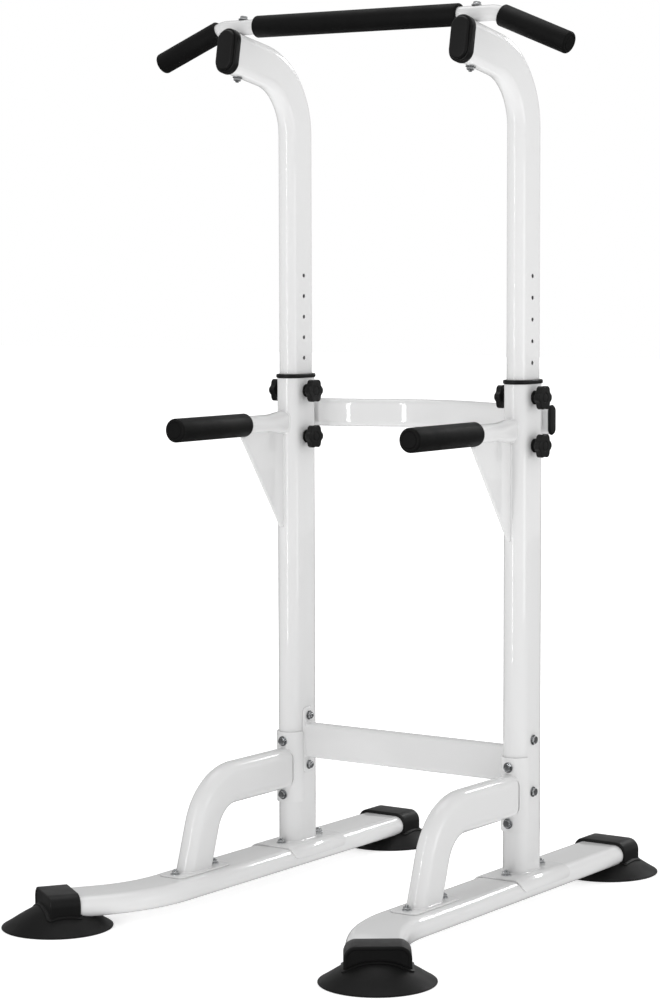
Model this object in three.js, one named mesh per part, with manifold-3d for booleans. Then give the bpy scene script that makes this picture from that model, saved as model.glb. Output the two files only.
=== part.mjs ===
// Power tower: a free-standing pull-up and dip frame with a height-adjustable upper section.
// Millimetres, +Z up, +X to the user's side, the dip arms and the pull-up bar reach toward -Y.
import * as THREE from 'three';
import Module from 'manifold-3d';

const wasm = await Module();
wasm.setup();
const { Manifold, Mesh: SolidMesh } = wasm;

// ---- driving dimensions -------------------------------------------------
const GAP = 0.3;             // clearance between neighbouring parts
const HALF = 290;            // half the spacing of the two posts
const ARC = 6;               // segments in a half circle of a tube section
const WALL = 1.5;             // tube wall

const FRONT_FOOT = { x: 393, y: -691 };
const REAR_FOOT_Y = 365;
const CUP_RADIUS = 113;
const ORIGIN_Y = (CUP_RADIUS - FRONT_FOOT.y - REAR_FOOT_Y - CUP_RADIUS) / 2;

const RUNNER = { wide: 120, high: 44, mid: 46, splay: 35, bendStart: -450, bendRadius: 300 };
const RUNNER_TOP = RUNNER.mid + RUNNER.high / 2;
const CAP = { wide: 129, top: 75, skirt: 31, out: 31, in: 33, corner: 24 };

const LOWER = { wide: 54, deep: 100, wall: 2, bottom: RUNNER_TOP + 3.5, top: 1094 };
const UPPER = { wide: 45, deep: 90, bottom: 600, bendStart: 1620, bendRadius: 145, rise: 10.5 };
const HOLES = { top: 1316.5, pitch: 44.7, count: 8, radius: 4.4 };
const BUSH = { flange: 9, sleeve: 22, lip: 2.6 };

const DIP = { z: 998.8, outer: 38, end: -420, gripStart: -188, gripEnd: -428, gripOuter: 50 };
const GUSSET = { thick: 5, reach: -200, low: 770 };
const BRACE = { wide: 45, deep: 90, z: 237, bendStart: -240, bendRadius: 110, lean: 17.7 };
const BRACKET = { thick: 4, low: 161, high: 317, back: -20 };
const BRACE_PLATE = { front: -456, back: -285, wide: 66, thick: 3.5 };
const BRACE_BOLT_Z = [178.6, 297];
const SADDLE = { front: -95, back: 101, thick: 3.2, low: 44 };
const FOOT_BOLT_Y = [-436, -305, -62, 78];

const LOW_BAR = { z: 296, high: 76, deep: 30, plateHigh: 144, plateDeep: 38, plateThick: 4 };
const LOW_BAR_BOLT_Z = [240.5, 350.5];
const BACK_BAR = { z: 1017, high: 61, deep: 26, half: 320, bow: 75, bowHalf: 262, capThick: 6 };
const KNOB = { z: [966.8, 1066.3], face: 55, headThick: 16, lobeRadius: 26.3, neck: 12, stud: 4 };

const BAR = { outer: 32, along: 197, half: 503, drop: 22, bendStart: 328, bendRadius: 50 };
const BAR_GRIP = { outer: 46, half: 252 };
const END_GRIP = { outer: 45, length: 166 };
const BOLT = { shank: 4, hole: 4.4, head: 8, headThick: 5 };

// ---- materials ----------------------------------------------------------
const paint = new THREE.MeshStandardMaterial({ color: 0xf4f4f4, roughness: 0.25, metalness: 0 });
const blackPlastic = new THREE.MeshStandardMaterial({ color: 0x1b1b1c, roughness: 0.45 });
const foam = new THREE.MeshStandardMaterial({ color: 0x19191a, roughness: 0.75 });
const rubber = new THREE.MeshStandardMaterial({ color: 0x161617, roughness: 0.6 });
const zinc = new THREE.MeshStandardMaterial({ color: 0xa9abad, roughness: 0.3, metalness: 1 });

const group = new THREE.Group();
group.name = 'power_tower';

// ---- geometry helpers ---------------------------------------------------
const rad = THREE.MathUtils.degToRad;
const vec = (x, y, z) => new THREE.Vector3(x, y, z);

// Rounded section: a along the sweep's fixed normal, b across it, r the corner radius.
function section(a, b, r = Math.min(a, b) / 2, steps = ARC / 2) {
  const points = [];
  const corners = [[1, 1, 0], [-1, 1, 90], [-1, -1, 180], [1, -1, 270]];
  for (const [sa, sb, start] of corners) {
    for (let i = 0; i <= steps; i++) {
      const t = rad(start + (90 * i) / steps);
      const p = [sa * (a / 2 - r) + r * Math.cos(t), sb * (b / 2 - r) + r * Math.sin(t)];
      const last = points[points.length - 1];
      if (!last || Math.hypot(p[0] - last[0], p[1] - last[1]) > 1e-3) points.push(p);
    }
  }
  const [first, last] = [points[0], points[points.length - 1]];
  if (Math.hypot(first[0] - last[0], first[1] - last[1]) < 1e-3) points.pop();
  return points;
}

function tangents(path) {
  return path.map((p, i) => {
    const before = path[Math.max(i - 1, 0)];
    const after = path[Math.min(i + 1, path.length - 1)];
    const back = i ? p.clone().sub(before).normalize() : null;
    const ahead = i < path.length - 1 ? after.clone().sub(p).normalize() : null;
    return (back && ahead ? back.add(ahead) : back || ahead).normalize();
  });
}

// Sweeps a section along a planar path. With an inner section the result is an open tube.
function sweep(path, normal, outer, inner = null) {
  const positions = [];
  const faces = [];
  const along = tangents(path);
  const ringOf = (shape) => path.map((p, i) => {
    const side = along[i].clone().cross(normal);
    return shape.map(([a, b]) => {
      const q = p.clone().addScaledVector(normal, a).addScaledVector(side, b);
      return positions.push(q.x, q.y, q.z) / 3 - 1;
    });
  });
  const quad = (a, b, c, d) => faces.push(a, b, c, a, c, d);
  const skin = (rings, flip) => {
    for (let i = 0; i < rings.length - 1; i++) {
      const [low, high] = flip ? [rings[i + 1], rings[i]] : [rings[i], rings[i + 1]];
      low.forEach((_, j) => {
        const k = (j + 1) % low.length;
        quad(low[j], low[k], high[k], high[j]);
      });
    }
  };
  const out = ringOf(outer);
  skin(out, false);
  const ends = [out[0], out[out.length - 1]];
  if (inner) {
    const hole = ringOf(inner);
    skin(hole, true);
    const holeEnds = [hole[0], hole[hole.length - 1]];
    ends.forEach((ring, e) => ring.forEach((_, j) => {
      const k = (j + 1) % ring.length;
      const h = holeEnds[e];
      if (e) quad(ring[j], ring[k], h[k], h[j]);
      else quad(ring[k], ring[j], h[j], h[k]);
    }));
  } else {
    for (let j = 1; j < outer.length - 1; j++) {
      faces.push(ends[0][0], ends[0][j + 1], ends[0][j]);
      faces.push(ends[1][0], ends[1][j], ends[1][j + 1]);
    }
  }
  return solid(positions, faces);
}

function solid(positions, faces) {
  let volume = 0;
  const at = (i) => vec(positions[3 * i], positions[3 * i + 1], positions[3 * i + 2]);
  for (let i = 0; i < faces.length; i += 3) {
    volume += at(faces[i]).dot(at(faces[i + 1]).cross(at(faces[i + 2])));
  }
  if (volume < 0) {
    for (let i = 0; i < faces.length; i += 3) [faces[i], faces[i + 1]] = [faces[i + 1], faces[i]];
  }
  return new Manifold(new SolidMesh({
    numProp: 3,
    vertProperties: Float32Array.from(positions),
    triVerts: Uint32Array.from(faces),
  }));
}

const shrink = (wall) => (a, b) => section(a - 2 * wall, b - 2 * wall);
const thin = shrink(WALL);

// Round bar between two points.
function rod(from, to, radius, steps = 12) {
  const length = to.distanceTo(from);
  const turn = new THREE.Quaternion().setFromUnitVectors(vec(0, 0, 1), to.clone().sub(from).normalize());
  const matrix = new THREE.Matrix4().compose(from, turn, vec(1, 1, 1));
  return Manifold.cylinder(length, radius, radius, steps).transform(matrix.toArray());
}

// Solid of revolution about the line from base along dir; profile lists [radius, height].
function turned(profile, base, dir, steps = 16) {
  const points = profile.map(([r, h]) => [r, h]);
  const turn = new THREE.Quaternion().setFromUnitVectors(vec(0, 0, 1), dir.clone().normalize());
  const matrix = new THREE.Matrix4().compose(base, turn, vec(1, 1, 1));
  return Manifold.revolve([points], steps).transform(matrix.toArray());
}

const box = (x0, x1, y0, y1, z0, z1) =>
  Manifold.cube([x1 - x0, y1 - y0, z1 - z0]).translate([x0, y0, z0]);

function add(name, shape, material) {
  const mesh = shape.translate([0, ORIGIN_Y, 0]).getMesh();
  const geometry = new THREE.BufferGeometry();
  geometry.setAttribute('position', new THREE.BufferAttribute(Float32Array.from(mesh.vertProperties), 3));
  geometry.setIndex(new THREE.BufferAttribute(Uint32Array.from(mesh.triVerts), 1));
  const flat = geometry.toNonIndexed();
  flat.computeVertexNormals();
  const node = new THREE.Mesh(flat, material);
  node.name = name;
  group.add(node);
}

// Arc from start, in the plane of the two unit vectors: heading first, turning toward second.
function arc(start, heading, toward, radius, degrees, steps) {
  const points = [];
  for (let i = 1; i <= steps; i++) {
    const t = rad((degrees * i) / steps);
    points.push(start.clone()
      .addScaledVector(heading, radius * Math.sin(t))
      .addScaledVector(toward, radius * (1 - Math.cos(t))));
  }
  return points;
}

// ---- paths --------------------------------------------------------------
function runnerPath(side, z = RUNNER.mid) {
  const bend = vec(side * HALF, RUNNER.bendStart, z);
  const out = rad(RUNNER.splay);
  const foot = vec(side * FRONT_FOOT.x, FRONT_FOOT.y, z);
  const end = foot.clone().addScaledVector(vec(side * Math.sin(out), -Math.cos(out), 0), CAP.out - 7);
  return [
    vec(side * HALF, REAR_FOOT_Y + CAP.out - 7, z),
    bend,
    ...arc(bend, vec(0, -1, 0), vec(side, 0, 0), RUNNER.bendRadius, RUNNER.splay, 5),
    end,
  ];
}

function armPath(side, extra = 0) {
  const start = vec(side * HALF, 0, UPPER.bendStart);
  const bend = arc(start, vec(0, 0, 1), vec(0, -1, 0), UPPER.bendRadius, 90 - UPPER.rise, 9);
  return [vec(side * HALF, 0, UPPER.bottom), start, ...bend, armPoint(side, 238 + extra)];
}

// Point on the centre line of an arm, reach in front of the post, off above the line.
function armPoint(side, reach, off = 0) {
  const turn = rad(90 - UPPER.rise);
  const z0 = UPPER.bendStart + UPPER.bendRadius * Math.sin(turn);
  const y0 = UPPER.bendRadius * (1 - Math.cos(turn));
  const slope = Math.tan(rad(UPPER.rise));
  return vec(side * HALF, -reach, z0 + (reach - y0) * slope).addScaledVector(armUp(), off);
}

const armUp = () => vec(0, Math.sin(rad(UPPER.rise)), Math.cos(rad(UPPER.rise)));
const armAhead = () => vec(0, -Math.cos(rad(UPPER.rise)), Math.sin(rad(UPPER.rise)));

function bracePath(side) {
  const start = vec(side * HALF, BRACE.bendStart, BRACE.z);
  const bend = arc(start, vec(0, -1, 0), vec(0, 0, -1), BRACE.bendRadius, 90 - BRACE.lean, 8);
  const last = bend[bend.length - 1];
  const foot = last.clone();
  foot.z = RUNNER_TOP + 2;
  foot.y -= (last.z - foot.z) * Math.tan(rad(BRACE.lean));
  return [vec(side * HALF, -LOWER.deep / 2 - 1, BRACE.z), start, ...bend, foot];
}

const barCentre = () => armPoint(1, BAR.along, UPPER.deep / 2 + BAR.outer / 2 + GAP);

function barPath() {
  const centre = barCentre();
  const half = (side) => {
    const start = vec(side * BAR.bendStart, centre.y, centre.z);
    const bend = arc(start, vec(side, 0, 0), vec(0, 0, -1), BAR.bendRadius, BAR.drop, 3);
    const last = bend[bend.length - 1];
    const run = BAR.half - 4 - Math.abs(last.x);
    const end = last.clone().add(vec(side * run, 0, -run * Math.tan(rad(BAR.drop))));
    return [start, ...bend, end];
  };
  return [...half(-1).reverse(), ...half(1)];
}

function backBarPath() {
  const y0 = LOWER.deep / 2 + BACK_BAR.deep / 2 + GAP;
  const points = [];
  const steps = 14;
  for (let i = 0; i <= steps; i++) {
    const x = BACK_BAR.bowHalf * (2 * i / steps - 1);
    const u = x / BACK_BAR.bowHalf;
    points.push(vec(x, y0 + BACK_BAR.bow * (1 - u * u) ** 2, BACK_BAR.z));
  }
  return [vec(-BACK_BAR.half, y0, BACK_BAR.z), ...points, vec(BACK_BAR.half, y0, BACK_BAR.z)];
}

// ---- base ---------------------------------------------------------------
const runnerSolid = (side, grow = 0) =>
  sweep(runnerPath(side), vec(0, 0, 1), section(RUNNER.high + 2 * grow, RUNNER.wide + 2 * grow));

function runner(side) {
  const tube = sweep(runnerPath(side), vec(0, 0, 1), section(RUNNER.high, RUNNER.wide),
    thin(RUNNER.high, RUNNER.wide));
  const holes = FOOT_BOLT_Y.map((y) => rod(vec(side * HALF, y, RUNNER_TOP - 5),
    vec(side * HALF, y, RUNNER_TOP + 5), BOLT.hole, 8));
  return holes.reduce((shape, hole) => shape.subtract(hole), tube);
}

const feet = [-1, 1].flatMap((side) => [
  { name: `${side < 0 ? 'left' : 'right'}_front`, side, x: side * FRONT_FOOT.x, y: FRONT_FOOT.y,
    turn: side * RUNNER.splay },
  { name: `${side < 0 ? 'left' : 'right'}_rear`, side, x: side * HALF, y: REAR_FOOT_Y, turn: 180 },
]);

const CUP_PROFILE = [[0, 3], [70, 3], [95, 0], [113, 0], [113, 2.2], [92, 15],
  [72, 27.5], [54, 37.5], [36, 44], [0, 47]];

function cup(foot, grow = 0) {
  const profile = CUP_PROFILE.map(([r, z], i) => [r, i < 4 ? z - grow : z + grow]);
  const dome = turned(profile, vec(foot.x, foot.y, 0), vec(0, 0, 1), 24);
  return grow ? dome : dome.subtract(runnerSolid(foot.side, GAP));
}

function footCap(foot) {
  const shape = section(CAP.wide, CAP.top + 40, CAP.corner, 4);
  const path = [vec(0, CAP.in, CAP.top / 2 - 20), vec(0, -CAP.out, CAP.top / 2 - 20)];
  const skirt = sweep(path, vec(1, 0, 0), shape)
    .intersect(box(-100, 100, -100, 100, CAP.skirt, 200));
  const placed = skirt.rotate([0, 0, foot.turn]).translate([foot.x, foot.y, 0]);
  return placed.subtract(runnerSolid(foot.side, GAP)).subtract(cup(foot, GAP));
}

// ---- lower frame --------------------------------------------------------
function lowerPost(side) {
  const { wide, deep, wall, bottom, top } = LOWER;
  const ends = [vec(side * HALF, 0, bottom - 1), vec(side * HALF, 0, top)];
  const tube = sweep(ends, vec(1, 0, 0), section(wide, deep), shrink(wall)(wide, deep));
  const saddlePath = [vec(side * HALF, SADDLE.front, RUNNER.mid), vec(side * HALF, SADDLE.back, RUNNER.mid)];
  const wrap = 2 * (SADDLE.thick + GAP);
  const saddle = sweep(saddlePath, vec(1, 0, 0),
    section(RUNNER.wide + wrap, RUNNER.high + wrap),
    section(RUNNER.wide + 2 * GAP, RUNNER.high + 2 * GAP))
    .intersect(box(side * HALF - 90, side * HALF + 90, -200, 200, SADDLE.low, 200));
  let post = tube.add(saddle);
  for (const z of KNOB.z) {
    post = post.subtract(rod(vec(side * HALF - 40, 0, z), vec(side * HALF + 40, 0, z), BOLT.hole, 8));
  }
  for (const z of LOW_BAR_BOLT_Z) {
    post = post.subtract(rod(vec(side * HALF - 40, 0, z), vec(side * HALF + 40, 0, z), BOLT.hole, 8));
  }
  for (const z of BRACE_BOLT_Z) {
    post = post.subtract(rod(vec(side * HALF, -70, z), vec(side * HALF, -40, z), BOLT.hole, 8));
  }
  for (const y of FOOT_BOLT_Y.slice(2)) {
    post = post.subtract(rod(vec(side * HALF, y, 60), vec(side * HALF, y, 90), BOLT.hole, 8));
  }
  return post;
}

const postSolid = (side, grow) => sweep([vec(side * HALF, 0, 60), vec(side * HALF, 0, 1090)],
  vec(1, 0, 0), section(LOWER.wide + 2 * grow, LOWER.deep + 2 * grow));

function frontBrace(side) {
  const tube = sweep(bracePath(side), vec(1, 0, 0), section(BRACE.wide, BRACE.deep),
    thin(BRACE.wide, BRACE.deep));
  const grow = GAP + BRACKET.thick;
  const hug = [vec(side * HALF, 0, BRACKET.low), vec(side * HALF, 0, BRACKET.high)];
  const bracket = sweep(hug, vec(1, 0, 0), section(LOWER.wide + 2 * grow, LOWER.deep + 2 * grow))
    .intersect(box(side * HALF - 60, side * HALF + 60, -100, BRACKET.back, 0, 400));
  const { front, back, wide, thick } = BRACE_PLATE;
  const z = RUNNER_TOP + GAP;
  const plate = box(side * HALF - wide / 2, side * HALF + wide / 2, front, back, z, z + thick);
  let brace = tube.subtract(box(side * HALF - 60, side * HALF + 60, -500, -200, 0, z))
    .add(bracket).subtract(postSolid(side, GAP)).add(plate);
  for (const bz of BRACE_BOLT_Z) {
    brace = brace.subtract(rod(vec(side * HALF, -70, bz), vec(side * HALF, -40, bz), BOLT.hole, 8));
  }
  for (const y of FOOT_BOLT_Y.slice(0, 2)) {
    brace = brace.subtract(rod(vec(side * HALF, y, 60), vec(side * HALF, y, 90), BOLT.hole, 8));
  }
  return brace;
}

function guideBush(side) {
  const { wide, deep, wall, top } = LOWER;
  const clear = [UPPER.wide + 2 * GAP, UPPER.deep + 2 * GAP];
  const level = (z0, z1, w, d) => sweep([vec(side * HALF, 0, z0), vec(side * HALF, 0, z1)],
    vec(1, 0, 0), section(w, d), section(...clear));
  const sleeve = level(top - BUSH.sleeve, top + GAP + 1, wide - 2 * wall - 2 * GAP, deep - 2 * wall - 2 * GAP);
  return sleeve.add(level(top + GAP, top + BUSH.flange, wide + 2 * BUSH.lip, deep + 2 * BUSH.lip));
}

function dipArm(side) {
  const tube = sweep([vec(side * HALF, DIP.end, DIP.z), vec(side * HALF, -30, DIP.z)], vec(0, 0, 1),
    section(DIP.outer, DIP.outer), thin(DIP.outer, DIP.outer));
  return tube.subtract(postSolid(side, GAP));
}

function dipGusset(side) {
  const top = DIP.z - DIP.outer / 2 - GAP;
  const back = -LOWER.deep / 2 - GAP;
  const underGrip = DIP.z - DIP.gripOuter / 2 - GAP;
  const notch = DIP.gripStart + GAP;
  const outline = [[notch, top], [notch, underGrip], [GUSSET.reach, underGrip],
    [GUSSET.reach + 3, underGrip - 6], [back - 9, GUSSET.low], [back, GUSSET.low], [back, top]];
  const { thick } = GUSSET;
  return Manifold.extrude([outline], thick)
    .transform([0, 1, 0, 0, 0, 0, 1, 0, 1, 0, 0, 0, side * HALF - thick / 2, 0, 0, 1]);
}

function foamSleeve(path, normal, outer, inner) {
  return sweep(path, normal, section(outer, outer), section(inner + 2 * GAP, inner + 2 * GAP));
}

function gripEnd(at, dir, outer) {
  const r = outer / 2;
  return turned([[0, 0], [r, 0], [r, 1.5], [r - 1.5, 4.5], [r - 6, 6.5], [0, 7]], at, dir, 12);
}

function dipGrip(side) {
  const tip = vec(side * HALF, DIP.gripEnd + 7, DIP.z);
  const lap = tip.clone().add(vec(0, -0.5, 0));
  return foamSleeve([vec(side * HALF, DIP.gripStart, DIP.z), lap], vec(0, 0, 1),
    DIP.gripOuter, DIP.outer).add(gripEnd(tip, vec(0, -1, 0), DIP.gripOuter));
}

function lowBar() {
  const face = HALF - LOWER.wide / 2 - GAP;
  const { z, high, deep, plateHigh, plateDeep, plateThick } = LOW_BAR;
  const tube = sweep([vec(-face + 1, 0, z), vec(face - 1, 0, z)], vec(0, 0, 1),
    section(high, deep, 8), section(high - 2 * WALL, deep - 2 * WALL, 6));
  const plate = (side) => sweep([vec(side * face, 0, z), vec(side * (face - plateThick), 0, z)],
    vec(0, 0, 1), section(plateHigh, plateDeep, 12));
  const vent = sweep([vec(-face - 1, 0, z), vec(face + 1, 0, z)], vec(0, 0, 1), section(40, 12, 5));
  let bar = tube.add(plate(-1)).add(plate(1)).subtract(vent);
  for (const bz of LOW_BAR_BOLT_Z) bar = bar.subtract(rod(vec(-300, 0, bz), vec(300, 0, bz), BOLT.hole, 8));
  return bar;
}

function backBar() {
  return sweep(backBarPath(), vec(0, 0, 1), section(BACK_BAR.high, BACK_BAR.deep),
    thin(BACK_BAR.high, BACK_BAR.deep));
}

function backBarCap(side) {
  const y = LOWER.deep / 2 + BACK_BAR.deep / 2 + GAP;
  const at = (x) => vec(side * x, y, BACK_BAR.z);
  const part = (x0, x1, high, deep) => sweep([at(x0), at(x1)], vec(0, 0, 1), section(high, deep));
  const lip = BACK_BAR.half + GAP;
  const inset = 2 * (WALL + GAP);
  return part(BACK_BAR.half - 12, lip + 1, BACK_BAR.high - inset, BACK_BAR.deep - inset)
    .add(part(lip, lip + BACK_BAR.capThick - 2, BACK_BAR.high + 3, BACK_BAR.deep + 0.4))
    .add(part(lip + 2, lip + BACK_BAR.capThick, BACK_BAR.high - 5, BACK_BAR.deep - 7));
}

// ---- upper frame --------------------------------------------------------
function upperPost(side) {
  let tube = sweep(armPath(side), vec(1, 0, 0), section(UPPER.wide, UPPER.deep),
    thin(UPPER.wide, UPPER.deep));
  for (let i = 0; i < HOLES.count; i++) {
    const z = HOLES.top - i * HOLES.pitch;
    tube = tube.subtract(rod(vec(side * HALF - 30, 0, z), vec(side * HALF + 30, 0, z), HOLES.radius, 8));
  }
  return tube.subtract(rod(armPoint(side, BAR.along, -60), armPoint(side, BAR.along, 60), BOLT.hole, 8));
}

function armCap(side) {
  const at = (d) => armPoint(side, 238).addScaledVector(armAhead(), d);
  const part = (d0, d1, w, h) => sweep([at(d0), at(d1)], vec(1, 0, 0), section(w, h));
  const inset = 2 * (WALL + GAP);
  const sleeve = sweep([at(-11), at(1)], vec(1, 0, 0), section(UPPER.wide + 4, UPPER.deep + 6),
    section(UPPER.wide + 2 * GAP, UPPER.deep + 2 * GAP));
  return part(-12, GAP + 1, UPPER.wide - inset, UPPER.deep - inset)
    .add(sleeve)
    .add(part(GAP, 7, UPPER.wide + 4, UPPER.deep + 6))
    .add(part(6, 15, UPPER.wide - 6, UPPER.deep - 6));
}

function pullUpBar() {
  const tube = sweep(barPath(), vec(0, 1, 0), section(BAR.outer, BAR.outer), thin(BAR.outer, BAR.outer));
  return [-1, 1].reduce((shape, side) => shape.subtract(
    rod(armPoint(side, BAR.along, 30), armPoint(side, BAR.along, 100), BOLT.hole, 8)), tube);
}

function centreGrip() {
  const c = barCentre();
  return foamSleeve([vec(-BAR_GRIP.half, c.y, c.z), vec(BAR_GRIP.half, c.y, c.z)], vec(0, 1, 0),
    BAR_GRIP.outer, BAR.outer);
}

function endGrip(side) {
  const path = barPath();
  const end = side < 0 ? path[0] : path[path.length - 1];
  const dir = vec(side * Math.cos(rad(BAR.drop)), 0, -Math.sin(rad(BAR.drop)));
  const tip = end.clone().addScaledVector(dir, GAP);
  const start = tip.clone().addScaledVector(dir, 7 - END_GRIP.length);
  const lap = tip.clone().addScaledVector(dir, 0.5);
  return foamSleeve([start, lap], vec(0, 1, 0), END_GRIP.outer, BAR.outer)
    .add(gripEnd(tip, dir, END_GRIP.outer));
}

// ---- fasteners ----------------------------------------------------------
const hex = (from, to, radius) => rod(from, to, radius, 6);

// Bolt from its seat along its shank: head outside, optional nut at the far end.
function bolt(seat, into, length, nutAt = null) {
  const dir = into.clone().normalize();
  const at = (d) => seat.clone().addScaledVector(dir, d);
  let shape = hex(at(-BOLT.headThick - 1.4), at(-1), BOLT.head)
    .add(rod(at(-1.4), at(-GAP), BOLT.head + 2, 12))
    .add(rod(at(-1), at(length), BOLT.shank, 8));
  if (nutAt !== null) shape = shape.add(hex(at(nutAt + GAP), at(nutAt + 6), BOLT.head - 0.5));
  return shape;
}

function knob(side, face, z) {
  const out = vec(side, 0, 0);
  const at = (d) => vec(face, 0, z).addScaledVector(out, d);
  const lobes = [];
  for (let i = 0; i < 24; i++) {
    const t = rad(15 * i);
    const r = KNOB.lobeRadius - 1.4 - 1.4 * Math.cos(6 * t);
    lobes.push([r * Math.cos(t), r * Math.sin(t)]);
  }
  const seat = LOWER.wide / 2;
  const head = sweep([at(KNOB.face - KNOB.headThick), at(KNOB.face)], vec(0, 0, 1), lobes);
  const studTip = UPPER.wide / 2 + GAP;
  return head.add(rod(at(seat + GAP), at(KNOB.face - 5), KNOB.neck, 12))
    .add(rod(at(studTip), at(seat + 2), KNOB.stud, 8));
}

// ---- assembly -----------------------------------------------------------
for (const foot of feet) {
  add(`${foot.name}_suction_cup`, cup(foot), rubber);
  add(`${foot.name}_foot_cap`, footCap(foot), blackPlastic);
}

const topGap = UPPER.deep / 2 + BAR.outer + GAP;
for (const side of [-1, 1]) {
  const hand = side < 0 ? 'left' : 'right';
  add(`${hand}_base_runner`, runner(side), paint);
  add(`${hand}_lower_post`, lowerPost(side), paint);
  add(`${hand}_front_brace`, frontBrace(side), paint);
  add(`${hand}_guide_bush`, guideBush(side), blackPlastic);
  add(`${hand}_dip_arm`, dipArm(side), paint);
  add(`${hand}_dip_gusset`, dipGusset(side), paint);
  add(`${hand}_dip_grip`, dipGrip(side), foam);
  add(`${hand}_upper_post`, upperPost(side), paint);
  add(`${hand}_arm_cap`, armCap(side), blackPlastic);
  add(`${hand}_end_grip`, endGrip(side), foam);
  add(`${hand}_back_bar_cap`, backBarCap(side), blackPlastic);
  add(`${hand}_bar_bolt`, bolt(armPoint(side, BAR.along, topGap), armUp().negate(),
    topGap + UPPER.deep / 2 + 10, topGap + UPPER.deep / 2), zinc);
  BRACE_BOLT_Z.forEach((z, i) => add(`${hand}_brace_bolt_${i + 1}`,
    bolt(vec(side * HALF, -LOWER.deep / 2 - GAP - BRACKET.thick, z), vec(0, 1, 0), 12), zinc));
  LOW_BAR_BOLT_Z.forEach((z, i) => add(`${hand}_crossbar_bolt_${i + 1}`,
    bolt(vec(side * (HALF + LOWER.wide / 2), 0, z), vec(-side, 0, 0),
      LOWER.wide + GAP + LOW_BAR.plateThick + 9, LOWER.wide + GAP + LOW_BAR.plateThick), zinc));
  FOOT_BOLT_Y.forEach((y, i) => add(`${hand}_foot_bolt_${i + 1}`,
    bolt(vec(side * HALF, y, RUNNER_TOP + GAP + (i < 2 ? BRACE_PLATE.thick : SADDLE.thick)),
      vec(0, 0, -1), 10), zinc));
  KNOB.z.forEach((z, i) => ['outer', 'inner'].forEach((place) => add(
    `${hand}_${place}_knob_${i + 1}`, knob(place === 'outer' ? side : -side, side * HALF, z),
    blackPlastic)));
}
add('lower_crossbar', lowBar(), paint);
add('back_crossbar', backBar(), paint);
add('pull_up_bar', pullUpBar(), paint);
add('centre_grip', centreGrip(), foam);

export default group;
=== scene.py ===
# %% [markdown]
# # A power tower
# This lesson rebuilds a free-standing pull-up and dip frame: white flat-oval tubes, black
# foam grips, star knobs and suction-cup feet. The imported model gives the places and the
# moving bodies, and every visible shape is made again here with smoother meshes.

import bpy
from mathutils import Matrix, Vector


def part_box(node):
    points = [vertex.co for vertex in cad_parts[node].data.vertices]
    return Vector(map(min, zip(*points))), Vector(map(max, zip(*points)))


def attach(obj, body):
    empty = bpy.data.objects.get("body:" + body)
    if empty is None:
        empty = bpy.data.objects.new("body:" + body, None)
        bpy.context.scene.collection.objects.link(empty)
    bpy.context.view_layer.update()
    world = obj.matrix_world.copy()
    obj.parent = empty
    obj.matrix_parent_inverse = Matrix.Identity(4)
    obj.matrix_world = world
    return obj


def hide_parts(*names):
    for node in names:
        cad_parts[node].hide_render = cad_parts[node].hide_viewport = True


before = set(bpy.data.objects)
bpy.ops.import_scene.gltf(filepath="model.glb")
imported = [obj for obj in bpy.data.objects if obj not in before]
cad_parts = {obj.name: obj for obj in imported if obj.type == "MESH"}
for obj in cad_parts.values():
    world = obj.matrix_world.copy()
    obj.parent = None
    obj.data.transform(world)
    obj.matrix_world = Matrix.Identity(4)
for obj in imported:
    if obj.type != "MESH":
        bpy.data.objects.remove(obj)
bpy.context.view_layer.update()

# %% [markdown]
# ## Sizes
# All sizes are in millimetres. The two posts stand in the plane y = 0 of this script, and
# the height of everything is above the floor. `at` turns such a place into scene metres.

# %% Sizes and places
import math
from functools import partial

import bmesh
import bpy
from mathutils import Matrix, Vector

MM = 0.001
GAP = 0.3
bush_low, bush_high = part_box("right_guide_bush")
HALF = (bush_low.x + bush_high.x) / 2 / MM
POST_Y = (bush_low.y + bush_high.y) / 2

WALL = 1.5
RUNNER_WIDE, RUNNER_HIGH, RUNNER_MID = 120, 44, 46
RUNNER_TOP = RUNNER_MID + RUNNER_HIGH / 2
SPLAY, SPLAY_START, SPLAY_RADIUS = 35, -450, 300
FOOT_X, FOOT_Y, REAR_FOOT_Y = 393, -691, 365
CAP_WIDE, CAP_TOP, CAP_SKIRT, CAP_OUT, CAP_IN, CAP_CORNER = 129, 75, 31, 31, 33, 24
RUNNER_END = CAP_OUT - 7
LIP_LEVEL = 34

LOWER_WIDE, LOWER_DEEP, LOWER_WALL, LOWER_TOP = 54, 100, 2, 1094
UPPER_WIDE, UPPER_DEEP, UPPER_FOOT = 45, 90, 600
ARM_BEND, ARM_RADIUS, ARM_RISE, ARM_REACH = 1620, 145, 10.5, 238
HOLE_TOP, HOLE_PITCH, HOLE_COUNT, HOLE_RADIUS = 1316.5, 44.7, 8, 4.4

DIP_Z, DIP_TUBE, DIP_GRIP, DIP_GRIP_START, DIP_GRIP_END = 998.8, 38, 50, -188, -428
BRACE_Z, BRACE_BEND, BRACE_RADIUS, BRACE_LEAN = 237, -240, 110, 17.7
BRACKET_THICK, BRACKET_LOW, BRACKET_HIGH = 4, 161, 317
BRACE_PLATE_FRONT, BRACE_PLATE_BACK, BRACE_PLATE_WIDE, BRACE_PLATE_THICK = -456, -285, 66, 3.5
SADDLE_FRONT, SADDLE_BACK, SADDLE_THICK = -95, 101, 3.2
BRACE_BOLT_Z = (178.6, 297)
FOOT_BOLT_Y = (-436, -305, -62, 78)

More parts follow.
